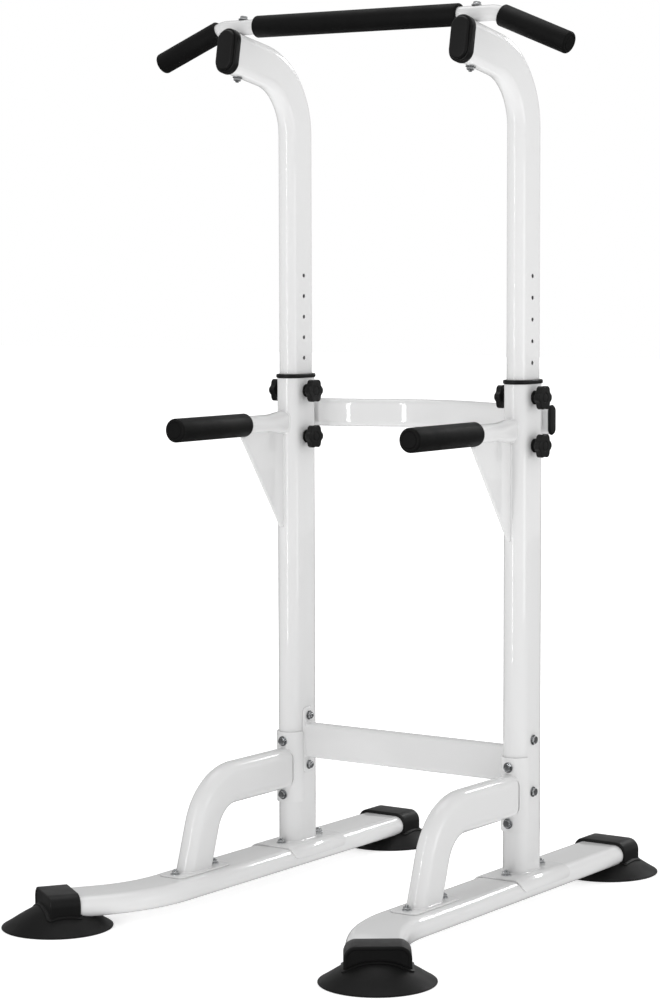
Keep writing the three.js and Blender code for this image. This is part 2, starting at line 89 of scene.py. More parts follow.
LOW_BAR_Z, LOW_BAR_HIGH, LOW_BAR_DEEP = 296, 76, 30
FLANGE_HIGH, FLANGE_DEEP, FLANGE_THICK = 144, 38, 4
LOW_BAR_BOLT_Z = (240.5, 350.5)
BACK_BAR_Z, BACK_BAR_HIGH, BACK_BAR_DEEP, BACK_BAR_HALF = 1017, 61, 26, 320
BACK_BAR_Y = LOWER_DEEP / 2 + BACK_BAR_DEEP / 2 + GAP
BOW_DEPTH, BOW_HALF = 75, 262

BAR_TUBE, BAR_ALONG, BAR_HALF, BAR_DROP, BAR_BEND, BAR_RADIUS = 32, 197, 503, 22, 328, 50
CENTRE_GRIP, CENTRE_GRIP_HALF = 46, 252
END_GRIP, END_GRIP_LENGTH = 45, 166
KNOB_Z = (966.8, 1066.3)
KNOB_FACE, KNOB_THICK, KNOB_RADIUS, KNOB_NECK = 55, 13, 26.3, 13.5
GUSSET_THICK, GUSSET_LOW, GUSSET_REACH = 5, 770, -200
BUSH_RIM, BUSH_SLEEVE = 9, 22
X, Y, Z = Vector((1, 0, 0)), Vector((0, 1, 0)), Vector((0, 0, 1))
SIDES = (("left", -1), ("right", 1))


def at(x, y, z):
    return Vector((x * MM, y * MM + POST_Y, z * MM))


print(f"posts at x = +/-{HALF:.1f} mm, {POST_Y / MM:.1f} mm behind the middle of the footprint")

# %% [markdown]
# ## Outlines
# A tube or a cap is a stack of outlines. Every outline here is a list of points across the
# path, always in the same number, so that any two can be joined by a strip of quads.

# %% Outlines
ROUND = 9


def rounded(wide, deep, corner=None, inset=0.0, steps=ROUND):
    """Rounded rectangle; with no corner radius its short ends are half circles."""
    corner = min(wide, deep) / 2 if corner is None else corner
    wide, deep = max(wide - 2 * inset, 0), max(deep - 2 * inset, 0)
    radius = min(max(corner - inset, 0), wide / 2, deep / 2)
    points = []
    for quarter, (sx, sy) in enumerate(((1, 1), (-1, 1), (-1, -1), (1, -1))):
        for i in range(steps + 1):
            t = math.radians(90 * (quarter + i / steps))
            points.append((sx * (wide / 2 - radius) + radius * math.cos(t),
                           sy * (deep / 2 - radius) + radius * math.sin(t)))
    return points


def circle(radius, count=4 * (ROUND + 1)):
    turns = [2 * math.pi * i / count for i in range(count)]
    return [(radius * math.cos(t), radius * math.sin(t)) for t in turns]


print(f"every rounded outline has {len(rounded(100, 50))} points")

# %% [markdown]
# ## Lofts
# `loft` joins outlines along a path into one closed mesh. The outline's first direction is
# kept on a fixed normal, which is enough because every bend of this frame lies in a plane.

# %% Lofts
def directions(path):
    steps = [(b - a).normalized() for a, b in zip(path, path[1:])]
    joined = [(a + b).normalized() for a, b in zip(steps, steps[1:])]
    return [steps[0], *joined, steps[-1]]


def loft(bm, path, normal, outlines, closed=False, ahead=None):
    """Adds one closed shell to bm; closed joins the last outline back to the first."""
    ahead = ahead or directions(path)
    rings = []
    for point, forward, outline in zip(path, ahead, outlines):
        side = forward.cross(normal)
        rings.append([bm.verts.new(point + (normal * a + side * b) * MM) for a, b in outline])
    pairs = list(zip(rings, rings[1:])) + ([(rings[-1], rings[0])] if closed else [])
    for low, high in pairs:
        for i in range(len(low)):
            j = (i + 1) % len(low)
            bm.faces.new((low[i], low[j], high[j], high[i]))
    if not closed:
        bm.faces.new(list(reversed(rings[0])))
        bm.faces.new(rings[-1])


def stack(bm, base, axis, normal, layers, closed=False):
    """A loft along a straight axis: layers are (distance, outline)."""
    path = [base + axis * (d * MM) for d, _ in layers]
    loft(bm, path, normal, [outline for _, outline in layers], closed, [axis] * len(layers))


def tube(bm, path, normal, wide, deep, wall, corner=None, seat=None):
    """An open-ended tube of even wall along a path; seat is the plane its end is cut to."""
    outer = [rounded(wide, deep, corner)] * len(path)
    inner = [rounded(wide, deep, corner, wall)] * len(path)
    way = directions(path)
    if seat:
        slant = way[-1].dot(seat)
        way[-1] = seat
        outer[-1] = [(a, b / slant) for a, b in outer[-1]]
        inner[-1] = [(a, b / slant) for a, b in inner[-1]]
    loft(bm, path + path[::-1], normal, outer + inner, True, way + way[::-1])


def edge_layers(start, end, edge, shape, steps=4):
    """Layers of a solid from start to end whose two rims are rounded with radius edge."""
    sign = 1 if end > start else -1
    turns = [math.pi / 2 * i / steps for i in range(steps + 1)]
    first = [(start + sign * edge * (1 - math.sin(t)), edge * (1 - math.cos(t)))
             for t in reversed(turns)]
    last = [(end - sign * edge * (1 - math.sin(t)), edge * (1 - math.cos(t))) for t in turns]
    return [(d, shape(inset=i)) for d, i in first + last]


def arc(start, heading, toward, radius, degrees, steps):
    turns = [math.radians(degrees * i / steps) for i in range(1, steps + 1)]
    return [start + (heading * math.sin(t) + toward * (1 - math.cos(t))) * (radius * MM)
            for t in turns]


print(f"a right-angle bend of 100 mm ends at {tuple(arc(Vector(), Z, X, 100, 90, 8)[-1])} m")

# %% [markdown]
# ## Finished pieces
# A piece gets smooth shading with crisp edges, one material from the slot it takes its finish
# from, and its moving body; the imported parts that it stands for are hidden.

# %% Finished pieces
SHARP_ANGLE = math.radians(35)


def mesh_of(name, bm):
    bmesh.ops.remove_doubles(bm, verts=bm.verts, dist=1e-6)
    bmesh.ops.dissolve_degenerate(bm, dist=1e-7, edges=bm.edges)
    bmesh.ops.recalc_face_normals(bm, faces=bm.faces)
    mesh = bpy.data.meshes.new(name)
    bm.to_mesh(mesh)
    bm.free()
    return mesh


def linked(name, mesh):
    piece = bpy.data.objects.new(name, mesh)
    bpy.context.scene.collection.objects.link(piece)
    return piece


def apply_modifiers(piece):
    """Gives the piece the mesh that its live modifiers make, and removes them."""
    shaped = bpy.data.meshes.new_from_object(
        piece.evaluated_get(bpy.context.evaluated_depsgraph_get()))
    piece.modifiers.clear()
    piece.data = shaped


def finish_piece(piece, finish, body, stands_for):
    """Applies live modifiers, shades the mesh and ties the piece to its body and slot."""
    if piece.modifiers:
        apply_modifiers(piece)
    piece.data.materials.clear()
    piece.data.materials.append(FINISHES[finish])
    for face in piece.data.polygons:
        face.material_index = 0
        face.use_smooth = True
    piece.data.set_sharp_from_angle(angle=SHARP_ANGLE)
    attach(piece, body)
    if stands_for:
        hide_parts(*stands_for)
    print(f"{piece.name}: {len(piece.data.polygons)} faces on {body}")
    return piece


def make_piece(name, bm, finish, body, stands_for=(), bevel=0.0):
    piece = linked(name, mesh_of(name, bm))
    if bevel:
        soften = piece.modifiers.new("soften", "BEVEL")
        soften.width = bevel * MM
        soften.segments = 2
        soften.limit_method = "ANGLE"
        soften.angle_limit = math.radians(50)
    return finish_piece(piece, finish, body, stands_for)


def cut(piece, cutter_bm, keep="DIFFERENCE"):
    """Takes the cutter's shape out of the piece, or keeps only what they share."""
    cutter = linked("cutter", mesh_of("cutter", cutter_bm))
    carve = piece.modifiers.new("carve", "BOOLEAN")
    carve.object = cutter
    carve.operation = keep
    carve.solver = "EXACT"
    apply_modifiers(piece)
    bpy.data.objects.remove(cutter)


print(f"edges sharper than {math.degrees(SHARP_ANGLE):.0f} degrees stay crisp")

# %% [markdown]
# ## Finishes
# Five finishes: thick glossy white paint with a faint orange-peel skin, satin moulded
# plastic, closed-cell foam with a fine pored skin, moulded rubber and bright zinc plate.
# Each pattern reads object coordinates, so it stays put on its piece.

# %% Finishes
FINISHES = {}


def new_finish(slot, colour, roughness, **sockets):
    material = bpy.data.materials.new(slot)
    material.use_nodes = True
    shader = material.node_tree.nodes["Principled BSDF"]
    shader.inputs["Base Color"].default_value = (*colour, 1)
    shader.inputs["Roughness"].default_value = roughness
    for socket, value in sockets.items():
        shader.inputs[socket.replace("_", " ")].default_value = value
    FINISHES[slot] = material
    return material, shader


def node(material, kind, **values):
    made = material.node_tree.nodes.new(kind)
    for key, value in values.items():
        if key in made.inputs:
            made.inputs[key].default_value = value
        else:
            setattr(made, key, value)
    return made


def wire(material, source, target):
    material.node_tree.links.new(source, target)


def pattern(material, scale, detail=3.0, kind="ShaderNodeTexNoise"):
    place = node(material, "ShaderNodeTexCoord")
    texture = node(material, kind, Scale=scale)
    if "Detail" in texture.inputs:
        texture.inputs["Detail"].default_value = detail
    wire(material, place.outputs["Object"], texture.inputs["Vector"])
    return texture


def add_bump(material, shader, textures, distance, strength):
    """Fine relief from one or two patterns, chained through bump nodes."""
    below = None
    for texture in textures:
        bump = node(material, "ShaderNodeBump", Strength=strength, Distance=distance)
        wire(material, texture.outputs[0], bump.inputs["Height"])
        if below:
            wire(material, below.outputs["Normal"], bump.inputs["Normal"])
        below = bump
    wire(material, below.outputs["Normal"], shader.inputs["Normal"])


def vary(material, shader, socket, texture, low, high):
    """Lets a pattern drive a socket between two values."""
    spread = node(material, "ShaderNodeMapRange")
    spread.inputs["From Min"].default_value = 0.3
    spread.inputs["From Max"].default_value = 0.7
    spread.inputs["To Min"].default_value = low
    spread.inputs["To Max"].default_value = high
    wire(material, texture.outputs[0], spread.inputs["Value"])
    wire(material, spread.outputs["Result"], shader.inputs[socket])


def tint(material, shader, texture, dark, light):
    """Mottles the colour between two close shades."""
    blend = node(material, "ShaderNodeMix", data_type="RGBA")
    shades = [socket for socket in blend.inputs if socket.type == "RGBA"]
    shades[0].default_value, shades[1].default_value = (*dark, 1), (*light, 1)
    wire(material, texture.outputs[0], blend.inputs[0])
    mixed = next(socket for socket in blend.outputs if socket.type == "RGBA")
    wire(material, mixed, shader.inputs["Base Color"])


def white_paint():
    material, shader = new_finish("white_paint", (0.80, 0.80, 0.80), 0.30, Coat_Weight=1.0,
                                  Coat_Roughness=0.03, Specular_IOR_Level=0.2)
    add_bump(material, shader, [pattern(material, 140, 1)], 0.0001, 0.05)
    vary(material, shader, "Roughness", pattern(material, 6, 1), 0.28, 0.32)
    tint(material, shader, pattern(material, 3, 1), (0.79, 0.79, 0.79), (0.81, 0.81, 0.81))


def black_finish(slot, dark, light, roughness, grain, depth, kind="ShaderNodeTexNoise", **sockets):
    """A near-black moulded skin: fine grain over a slow unevenness, and a little mottling."""
    material, shader = new_finish(slot, (light, light, light), roughness, **sockets)
    add_bump(material, shader, [pattern(material, grain, kind=kind), pattern(material, 60)],
             depth, 0.25)
    vary(material, shader, "Roughness", pattern(material, 25), roughness - 0.04, roughness + 0.05)
    tint(material, shader, pattern(material, 40), (dark, dark, dark), (light, light, light))


def zinc():
    material, shader = new_finish("zinc_steel", (0.54, 0.55, 0.56), 0.2, Metallic=1.0)
    add_bump(material, shader, [pattern(material, 900)], 0.00005, 0.15)
    vary(material, shader, "Roughness", pattern(material, 150), 0.14, 0.26)
    tint(material, shader, pattern(material, 90), (0.42, 0.43, 0.44), (0.66, 0.67, 0.68))


white_paint()
black_finish("black_plastic", 0.002, 0.004, 0.46, 1400, 0.00003, Specular_IOR_Level=0.35)
black_finish("foam", 0.002, 0.004, 0.58, 1100, 0.00012, "ShaderNodeTexVoronoi",
             Specular_IOR_Level=0.20)
black_finish("rubber", 0.002, 0.004, 0.50, 1600, 0.00004, Specular_IOR_Level=0.22)
zinc()
print("finishes made:", ", ".join(FINISHES))

# %% [markdown]
# ## Base runners
# Each runner is one flat-oval tube on its side: straight under the post, then swept outward
# at the front so that the suction cups stand wider than the posts.

# %% Base runners
def runner_path(side, end_out):
    bend = at(side * HALF, SPLAY_START, RUNNER_MID)
    turn = math.radians(SPLAY)
    foot = at(side * FOOT_X, FOOT_Y, RUNNER_MID)
    out = Vector((side * math.sin(turn), -math.cos(turn), 0))
    return [at(side * HALF, REAR_FOOT_Y + end_out, RUNNER_MID), bend,
            *arc(bend, -Y, X * side, SPLAY_RADIUS, SPLAY, 24), foot + out * (end_out * MM)]


for hand, side in SIDES:
    bm = bmesh.new()
    tube(bm, runner_path(side, RUNNER_END), Z, RUNNER_HIGH, RUNNER_WIDE, WALL)
    make_piece(f"{hand}_runner_tube", bm, "white_paint", "stand", [f"{hand}_base_runner"])

# %% [markdown]
# ## Suction cups
# A cup is turned: a thin rim on the floor, a convex cone above it and a hollow underneath.
# The runner's end is carved out of its top, as the moulded seat is on the real one.

# %% Suction cups
FEET = [(f"{hand}_{end}", side, x, y, angle) for hand, side in SIDES for end, x, y, angle in (
    ("front", side * FOOT_X, FOOT_Y, side * SPLAY), ("rear", side * HALF, REAR_FOOT_Y, 180))]
CUP_OUTSIDE = ((113, 0.6), (113, 2.0), (111.5, 3.2), (107, 5.6), (100, 10.0), (92, 15),
               (82, 21.4), (72, 27.5), (63, 32.6), (54, 37.5), (45, 41.3), (36, 44), (20, 46.4),
               (0, 47))
CUP_STEPS = 128
CUP_INSIDE = ((0, 9), (30, 9), (60, 7.5), (80, 4.5), (95, 1.2), (99, 0), (112.4, 0))


def cup_layers(grow=0.0):
    """The cup from its hollow to its top, its outer skin lifted by grow."""
    inside = [(z, circle(r, CUP_STEPS)) for r, z in CUP_INSIDE]
    outside = [(z + grow, circle(r + grow if r > 100 else r, CUP_STEPS)) for r, z in CUP_OUTSIDE]
    return inside + outside


def runner_cutter(side):
    bm = bmesh.new()
    path = runner_path(side, RUNNER_END + GAP)
    loft(bm, path, Z, [rounded(RUNNER_HIGH + 2 * GAP, RUNNER_WIDE + 2 * GAP)] * len(path))
    return bm


for foot, side, x, y, angle in FEET:
    bm = bmesh.new()
    stack(bm, at(x, y, 0), Z, X, cup_layers())
    cup = linked(f"{foot}_cup", mesh_of(f"{foot}_cup", bm))
    cut(cup, runner_cutter(side))
    finish_piece(cup, "rubber", "stand", [f"{foot}_suction_cup"])

# %% [markdown]
# ## Foot caps
# A cap is a rounded sleeve that closes the end of the runner. It starts as a solid block
# with soft rims and a stepped face, then the runner and the cup's cone are taken out of it,
# which leaves the thin walls and the arched lower edge.

# %% Foot caps
def cap_outline(inset=0.0):
    """Half-rounded block: large top corners, small lower ones; first direction is across."""
    half, top, low = CAP_WIDE / 2 - inset, CAP_TOP - inset, CAP_SKIRT + min(inset, 2)
    radius, small = max(CAP_CORNER - inset, 3), 1.5
    points = []
    for cx, cz, r, start in ((half - radius, top - radius, radius, 0),
                             (radius - half, top - radius, radius, 90),
                             (small - half, low + small, small, 180),
                             (half - small, low + small, small, 270)):
        for i in range(13):
            t = math.radians(start + 90 * i / 12)
            points.append((cx + r * math.cos(t), cz + r * math.sin(t)))
    return points


def add_lip(cap, x, y, out, side):
    """A thin flange that lies on the cup all round the foot of the cap."""
    block, low, high = bmesh.new(), bmesh.new(), bmesh.new()
    around = rounded(CAP_IN + CAP_OUT + 10, CAP_WIDE + 9, 9)
    stack(block, at(x, y, LIP_LEVEL), Z, out, [(-16, around), (14, around)])
    stack(low, at(x, y, 0), Z, X, cup_layers(0.4))
    stack(high, at(x, y, 0), Z, X, cup_layers(3.2))
    lip = linked("lip", mesh_of("lip", block))
    cut(lip, high, "INTERSECT")
    cut(lip, low)
    cut(lip, runner_cutter(side))
    both = bmesh.new()
    both.from_mesh(cap.data)
    both.from_mesh(lip.data)
    both.to_mesh(cap.data)
    both.free()
    bpy.data.objects.remove(lip)


for foot, side, x, y, angle in FEET:
    layers = edge_layers(-CAP_IN, CAP_OUT, 2.5, cap_outline)
    face = [(CAP_OUT, cap_outline(6)), (CAP_OUT - 1.4, cap_outline(7.4)),
            (CAP_OUT - 1.6, cap_outline(12))]
    bm = bmesh.new()
    out = Vector((math.sin(math.radians(angle)), -math.cos(math.radians(angle)), 0))
    stack(bm, at(x, y, 0), out, Z.cross(out), layers + face)
    cap = linked(f"{foot}_sleeve_cap", mesh_of(f"{foot}_sleeve_cap", bm))
    cut(cap, runner_cutter(side))
    cone = bmesh.new()
    stack(cone, at(x, y, 0), Z, X, cup_layers(0.5))
    cut(cap, cone)
    add_lip(cap, x, y, out, side)
    finish_piece(cap, "black_plastic", "stand", [f"{foot}_foot_cap"])

# %% [markdown]
# ## Plates that wrap a tube
# The saddle under a post and the bracket on its front are sheet metal bent round a tube. Each is
# a strip along the tube's outline, with its corners rounded, made as an inner and an outer
# skin joined at the rim.

# %% Wrapped plates
def wrapped_plate(bm, outline_at, reach, low, high, corner, thick, place, steps=64):
    """outline_at(s) gives the point and outward direction at s mm from the middle."""
    rows = []
    for i in range(steps + 1):
        s = reach * (2 * i / steps - 1)
        into = max(abs(s) - (reach - corner), 0)
        back_off = corner - math.sqrt(max(corner ** 2 - into ** 2, 0))
        (a, b), (na, nb) = outline_at(s)
        row = []
        for lift, along in ((0, low + back_off), (thick, low + back_off),
                            (thick, high - back_off), (0, high - back_off)):
            row.append(bm.verts.new(place(a + na * lift, b + nb * lift, along)))
        rows.append(row)
    for first, second in zip(rows, rows[1:]):
        for i in range(4):
            j = (i + 1) % 4
            bm.faces.new((first[i], first[j], second[j], second[i]))
    bm.faces.new(list(reversed(rows[0])))
    bm.faces.new(rows[-1])


def around_runner(s):
    flat, radius = (RUNNER_WIDE - RUNNER_HIGH) / 2, RUNNER_HIGH / 2 + GAP
    turn = max(abs(s) - flat, 0) / radius
    sign = math.copysign(1, s)
    across = sign * (min(abs(s), flat) + radius * math.sin(turn))
    up = RUNNER_MID + radius * math.cos(turn)
    return (across, up), (sign * math.sin(turn), math.cos(turn))


def around_post_front(s):
    radius = LOWER_WIDE / 2 + GAP
    quarter = radius * math.pi / 2
    turn = min(abs(s), quarter) / radius
    sign = math.copysign(1, s)
    middle = -(LOWER_DEEP - LOWER_WIDE) / 2
    point = (sign * radius * math.sin(turn),
             middle - radius * math.cos(turn) + max(abs(s) - quarter, 0))
    return point, (sign * math.sin(turn), -math.cos(turn))


print(f"the bracket leaves the post's side at {LOWER_WIDE / 2 * math.pi / 2:.1f} mm round")

# %% [markdown]
# ## Lower posts
# A lower post is a tall flat-oval tube welded to its saddle, which hugs the runner.

# %% Lower posts
for hand, side in SIDES:
    bm = bmesh.new()
    foot_z = RUNNER_TOP + SADDLE_THICK
    tube(bm, [at(side * HALF, 0, foot_z), at(side * HALF, 0, LOWER_TOP)], X, LOWER_WIDE,
         LOWER_DEEP, LOWER_WALL)
    wrapped_plate(bm, around_runner, 73, SADDLE_FRONT, SADDLE_BACK, 18, SADDLE_THICK,
                  lambda a, b, along: at(side * HALF + a, along, b))
    make_piece(f"{hand}_post_tube", bm, "white_paint", "stand", [f"{hand}_lower_post"], 0.5)

# %% [markdown]
# ## Front braces
# The brace is one bent tube between a bracket that hugs the post and a plate on the runner.

# %% Front braces
def brace_path(side):
    start = at(side * HALF, BRACE_BEND, BRACE_Z)
    bend = arc(start, -Y, -Z, BRACE_RADIUS, 90 - BRACE_LEAN, 28)
    drop = bend[-1].z / MM - RUNNER_TOP - GAP - BRACE_PLATE_THICK + 1
    foot = bend[-1] + Vector((0, -drop * math.tan(math.radians(BRACE_LEAN)), -drop)) * MM
    return [at(side * HALF, -LOWER_DEEP / 2, BRACE_Z), start, *bend, foot]


for hand, side in SIDES:
    bm = bmesh.new()
    path = brace_path(side)
    tube(bm, path, X, UPPER_WIDE, UPPER_DEEP, WALL, seat=-Z)
    wrapped_plate(bm, around_post_front, LOWER_WIDE / 2 * math.pi / 2 + 3, BRACKET_LOW,
                  BRACKET_HIGH, 5, BRACKET_THICK, lambda a, b, along: at(side * HALF + a, b, along))
    middle = (BRACE_PLATE_FRONT + BRACE_PLATE_BACK) / 2
    plate = partial(rounded, BRACE_PLATE_WIDE, BRACE_PLATE_BACK - BRACE_PLATE_FRONT, 14)
    stack(bm, at(side * HALF, middle, RUNNER_TOP + GAP), Z, X,
          edge_layers(0, BRACE_PLATE_THICK, 0.8, plate))
    make_piece(f"{hand}_brace_tube", bm, "white_paint", "stand", [f"{hand}_front_brace"])

# %% [markdown]
# ## Lower crossbar
# A rounded rectangular tube between two flange plates, bolted through the posts.

# %% Lower crossbar
bm = bmesh.new()
face = HALF - LOWER_WIDE / 2 - GAP
tube(bm, [at(-face + 1, 0, LOW_BAR_Z), at(face - 1, 0, LOW_BAR_Z)], Z, LOW_BAR_HIGH,
     LOW_BAR_DEEP, WALL, 9)
for hand, side in SIDES:
    stack(bm, at(side * face, 0, LOW_BAR_Z), X * -side, Z,
          edge_layers(0, FLANGE_THICK, 0.9, partial(rounded, FLANGE_HIGH, FLANGE_DEEP, 10)))
make_piece("lower_crossbar_tube", bm, "white_paint", "stand", ["lower_crossbar"])

# %% [markdown]
# ## Back crossbar
# The back crossbar bows away from the user between the posts, so its path is a smooth
# polynomial. Its open ends are closed by black plugs with a raised face.

# %% Back crossbar
def back_bar_path():
    xs = [BOW_HALF * (2 * i / 72 - 1) for i in range(73)]
    bow = [at(x, BACK_BAR_Y + BOW_DEPTH * (1 - (x / BOW_HALF) ** 2) ** 2, BACK_BAR_Z) for x in xs]
    left_end, right_end = [at(x, BACK_BAR_Y, BACK_BAR_Z) for x in (-BACK_BAR_HALF, BACK_BAR_HALF)]
    return [left_end, *bow, right_end]


bm = bmesh.new()
tube(bm, back_bar_path(), Z, BACK_BAR_HIGH, BACK_BAR_DEEP, WALL)
make_piece("back_crossbar_tube", bm, "white_paint", "stand", ["back_crossbar"])


def plug(bm, base, axis, normal, wide, deep, rim, dome, step):
    """A black end plug: a rounded rim, then a raised face set in from it."""
    low = edge_layers(0, rim, min(rim / 2.2, 2.4), partial(rounded, wide, deep))
    high = edge_layers(rim - 0.5, rim + dome, min(dome / 1.6, 4.5),
                       partial(rounded, wide - 2 * step, deep - 2 * step))[5:]
    stack(bm, base, axis, normal, low + [(rim, high[0][1])] + high)


for hand, side in SIDES:
    bm = bmesh.new()
    base = at(side * (BACK_BAR_HALF + GAP), BACK_BAR_Y, BACK_BAR_Z)
    plug(bm, base, X * side, Z, BACK_BAR_HIGH + 2.4, BACK_BAR_DEEP + 0.4, 3.5, 2.2, 2.2)
    make_piece(f"{hand}_back_bar_plug", bm, "black_plastic", "stand", [f"{hand}_back_bar_cap"])

# %% [markdown]
# ## Dip arms and gussets
# Each dip arm is a round tube whose root is flattened tall and narrow where it is welded to
# the post. A thin plate below carries the load.

# %% Dip arms and gussets
def dip_outline(y):
    t = min(max((y + 112) / 60, 0), 1)
    t = t * t * (3 - 2 * t)
    tall, wide = DIP_TUBE + 11 * t, DIP_TUBE - 7 * t
    return rounded(tall, wide, min(tall, wide) / 2)


ROOT = -45
for hand, side in SIDES:
    bm = bmesh.new()
    ys = [-420, -118, *[-112 + 3 * i for i in range(21)], ROOT]
    stack(bm, at(side * HALF, 0, DIP_Z), Y, Z, [(y, dip_outline(y)) for y in ys])
    make_piece(f"{hand}_dip_tube", bm, "white_paint", "stand", [f"{hand}_dip_arm"])

    top, back = DIP_Z - DIP_TUBE / 2 - GAP, -LOWER_DEEP / 2 - GAP
    under = DIP_Z - DIP_GRIP / 2 - GAP
    notch = DIP_GRIP_START + GAP
    outline = [(notch, top), (notch, under), (GUSSET_REACH, under), (GUSSET_REACH + 3, under - 6),
               (back - 9, GUSSET_LOW), (back, GUSSET_LOW), (back, top)]
    bm = bmesh.new()
    ends = [[bm.verts.new(at(side * HALF + dx, y, z)) for y, z in outline]
            for dx in (-GUSSET_THICK / 2, GUSSET_THICK / 2)]
    bm.faces.new(ends[0])
    bm.faces.new(list(reversed(ends[1])))
    for i in range(len(outline)):
        j = (i + 1) % len(outline)
        bm.faces.new((ends[0][i], ends[1][i], ends[1][j], ends[0][j]))
    make_piece(f"{hand}_gusset_plate", bm, "white_paint", "stand", [f"{hand}_dip_gusset"], 0.7)

# %% [markdown]
# ## Guide bushes
# A black moulded collar caps each lower post and guides the upper post as it slides.

# %% Guide bushes
for hand, side in SIDES:
    clear = rounded(UPPER_WIDE + 2 * GAP, UPPER_DEEP + 2 * GAP)
    sleeve = rounded(LOWER_WIDE - 2 * LOWER_WALL - 2 * GAP, LOWER_DEEP - 2 * LOWER_WALL - 2 * GAP)
    rim = edge_layers(GAP, BUSH_RIM, 2.6, partial(rounded, LOWER_WIDE + 5.2, LOWER_DEEP + 5.2))
    bm = bmesh.new()
    stack(bm, at(side * HALF, 0, LOWER_TOP), Z, X,
          [(-BUSH_SLEEVE, clear), (-BUSH_SLEEVE, sleeve), (GAP, sleeve), *rim,
           (BUSH_RIM, clear)], True)
    make_piece(f"{hand}_collar", bm, "black_plastic", "stand", [f"{hand}_guide_bush"])

# %% [markdown]
# ## Upper posts
# The upper posts slide in the lower ones. Each bends forward over the user's head in one
# plane, and a row of round adjustment holes runs down its flat sides.

# %% Upper posts
UP = Vector((0, math.sin(math.radians(ARM_RISE)), math.cos(math.radians(ARM_RISE))))
FORWARD = Vector((0, -math.cos(math.radians(ARM_RISE)), math.sin(math.radians(ARM_RISE))))


def arm_point(side, reach, off=0.0):
    """The arm's centre line at a reach in front of the post, off mm above it."""
    turn = math.radians(90 - ARM_RISE)
    start_y, start_z = ARM_RADIUS * (1 - math.cos(turn)), ARM_BEND + ARM_RADIUS * math.sin(turn)
    z = start_z + (reach - start_y) * math.tan(math.radians(ARM_RISE))
    return at(side * HALF, -reach, z) + UP * (off * MM)


for hand, side in SIDES:
    start = at(side * HALF, 0, ARM_BEND)
    path = [at(side * HALF, 0, UPPER_FOOT), start,
            *arc(start, Z, -Y, ARM_RADIUS, 90 - ARM_RISE, 36), arm_point(side, ARM_REACH)]
    bm = bmesh.new()
    tube(bm, path, X, UPPER_WIDE, UPPER_DEEP, WALL)
    post = linked(f"{hand}_arm_tube", mesh_of(f"{hand}_arm_tube", bm))
    holes = bmesh.new()
    for i in range(HOLE_COUNT):
        stack(holes, at(side * HALF - 30, 0, HOLE_TOP - i * HOLE_PITCH), X, Z,
              [(0, circle(HOLE_RADIUS, 24)), (60, circle(HOLE_RADIUS, 24))])
    cut(post, holes)
    finish_piece(post, "white_paint", "upper_frame", [f"{hand}_upper_post"])

    bm = bmesh.new()
    end = arm_point(side, ARM_REACH)
    rim = edge_layers(-11, 7, 2.6, partial(rounded, UPPER_WIDE + 4.4, UPPER_DEEP + 6))
    dome = edge_layers(5, 15, 5, partial(rounded, UPPER_WIDE - 3, UPPER_DEEP - 3), 6)[7:]
    bore = partial(rounded, UPPER_WIDE + 2 * GAP, UPPER_DEEP + 2 * GAP)
    point = partial(rounded, 0, 0)
    stack(bm, end, FORWARD, X, [(-11, bore()), *rim, (7, dome[0][1]), *dome, (15, point()),
                                (GAP, point()), (GAP, bore())], True)
    make_piece(f"{hand}_arm_plug", bm, "black_plastic", "upper_frame", [f"{hand}_arm_cap"])

# %% [markdown]
# ## Pull-up bar
# One tube lies across both arms and droops at its ends.

# %% Pull-up bar
bar_centre = arm_point(0, BAR_ALONG, UPPER_DEEP / 2 + BAR_TUBE / 2 + GAP)
DROP = math.radians(BAR_DROP)


def bar_half(side):
    start = bar_centre + X * (side * BAR_BEND * MM)
    bend = arc(start, X * side, -Z, BAR_RADIUS, BAR_DROP, 12)
    run = (BAR_HALF - 4) * MM - abs(bend[-1].x)
    return [start, *bend, bend[-1] + Vector((side * run, 0, -run * math.tan(DROP)))]


bm = bmesh.new()
tube(bm, bar_half(-1)[::-1] + bar_half(1), Y, BAR_TUBE, BAR_TUBE, WALL)
make_piece("bar_tube", bm, "white_paint", "upper_frame", ["pull_up_bar"])

# %% [markdown]
# ## Foam grips
# Five black foam sleeves: the ends of the dip arms and of the bar are closed, and the long
# one in the middle is open at both ends. Soft rims show that they are cut from thick foam.

# %% Foam grips
def open_sleeve(bm, base, axis, normal, length, outer, inner):
    rim = edge_layers(0, length, 3, lambda inset: rounded(outer, outer, None, inset))
    bore = rounded(inner + 2 * GAP, inner + 2 * GAP)
    stack(bm, base, axis, normal, [(0, bore), *rim, (length, bore)], True)


def closed_sleeve(bm, base, axis, normal, length, outer, inner):
    """Open at its base, closed and softly rounded at its tip, with a faint ring on the face."""
    def disc(size):
        return rounded(size, size)
    rim = [(0, disc(inner + 2 * GAP)), (0, disc(outer - 4)), (0.6, disc(outer - 1.6)),
           (2, disc(outer))]
    tip = [(length - 5 + 5 * math.sin(t), disc(outer - 10 * (1 - math.cos(t))))
           for t in [math.pi / 2 * i / 6 for i in range(7)]]
    face = [(length - 0.1, disc(outer - 13)), (length - 0.9, disc(outer - 15)),
            (length - 0.9, disc(outer - 17)), (length, disc(outer - 19)), (length, disc(0))]
    bore = [(length - 7, disc(0)), (length - 7, disc(inner + 2 * GAP))]
    stack(bm, base, axis, normal, rim + tip + face + bore, True)


def grip_piece(name, build, body, node_name, *sizes):
    bm = bmesh.new()
    build(bm, *sizes)
    grip = make_piece(name, bm, "foam", body, [node_name])


